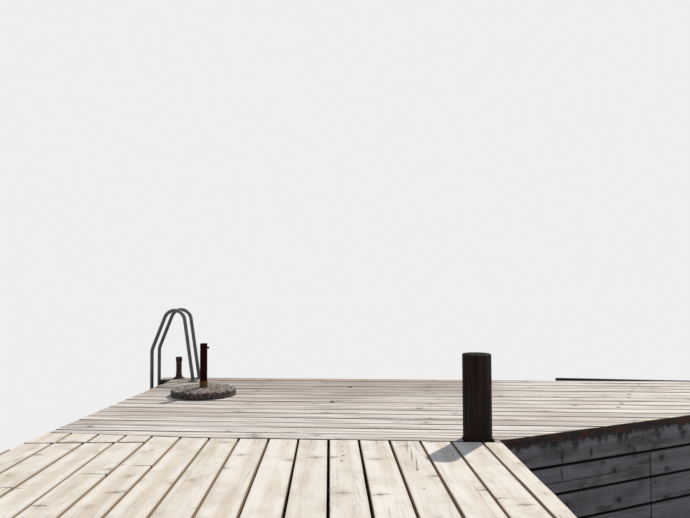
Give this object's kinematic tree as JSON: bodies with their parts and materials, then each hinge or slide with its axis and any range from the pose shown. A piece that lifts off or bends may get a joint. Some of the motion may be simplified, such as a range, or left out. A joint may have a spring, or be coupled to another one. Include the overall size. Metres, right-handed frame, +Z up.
{
  "type": "wooden jetty",
  "caption": "Timber jetty: a walkway of lengthwise boards meeting a crosswise-boarded head with planked sides, on piles, with a mooring post and a bathing ladder.",
  "frame": {"origin": "middle of the mooring post's foot, on the level where the piles meet the bottom", "axes": "+Z up, +X along the head's boards to the right, +Y out over the water, away from the shore end"},
  "size_m": [4.961, 5.9417, 1.6195],
  "materials": {
    "walkway_wood": "sun-bleached bare softwood, dry and cracked",
    "head_wood": "weathered grey softwood with a pinkish cast",
    "side_plank_wood": "weathered blue-grey softwood with water stains",
    "frame_wood": "sawn timber gone grey-brown",
    "pile_wood": "round timber, damp and dark near its foot",
    "dark_post_wood": "tarred round timber, very dark brown",
    "rusty_steel": "rusted steel, dark red-brown",
    "yellow_rust": "yellow-brown rust",
    "pebbled_stone": "rough cast stone with small exposed pebbles",
    "ladder_metal": "dull grey metal tube",
    "tarred_strake": "tarred timber, black"
  },
  "bodies": {
    "root": {"walkway_boards": "walkway_wood", "walkway_short_boards": "walkway_wood", "walkway_edge_board": "walkway_wood", "infill_boards": "walkway_wood", "head_first_board": "head_wood", "head_cut_boards": "head_wood", "head_long_boards": "head_wood", "ladder_board": "head_wood", "slant_wall": "side_plank_wood", "end_wall": "side_plank_wood", "far_wall": "side_plank_wood", "head_left_wall": "side_plank_wood", "walkway_left_wall": "side_plank_wood", "walkway_right_wall": "side_plank_wood", "slant_beam": "frame_wood", "end_beam": "frame_wood", "far_beam": "frame_wood", "head_left_beam": "frame_wood", "walkway_left_beam": "frame_wood", "walkway_right_beam": "frame_wood", "shore_beam": "frame_wood", "junction_beams": "frame_wood", "head_joists": "frame_wood", "walkway_joists": "frame_wood", "head_bearers": "frame_wood", "walkway_bearers": "frame_wood", "head_piles": "pile_wood", "walkway_piles": "pile_wood", "slant_posts": "frame_wood", "end_posts": "frame_wood", "far_posts": "frame_wood", "left_posts": "frame_wood", "walkway_posts": "frame_wood", "mooring_post": "dark_post_wood", "pipe_post": "rusty_steel", "pipe_foot": "pebbled_stone", "pipe_collar": "yellow_rust", "pipe_bolt": "rusty_steel", "bollard": "rusty_steel", "near_rail": "ladder_metal", "far_rail": "ladder_metal", "ladder_rungs": "ladder_metal", "ladder_feet": "ladder_metal", "ladder_stays": "ladder_metal", "edge_strake": "tarred_strake"}
  },
  "joints": []
}
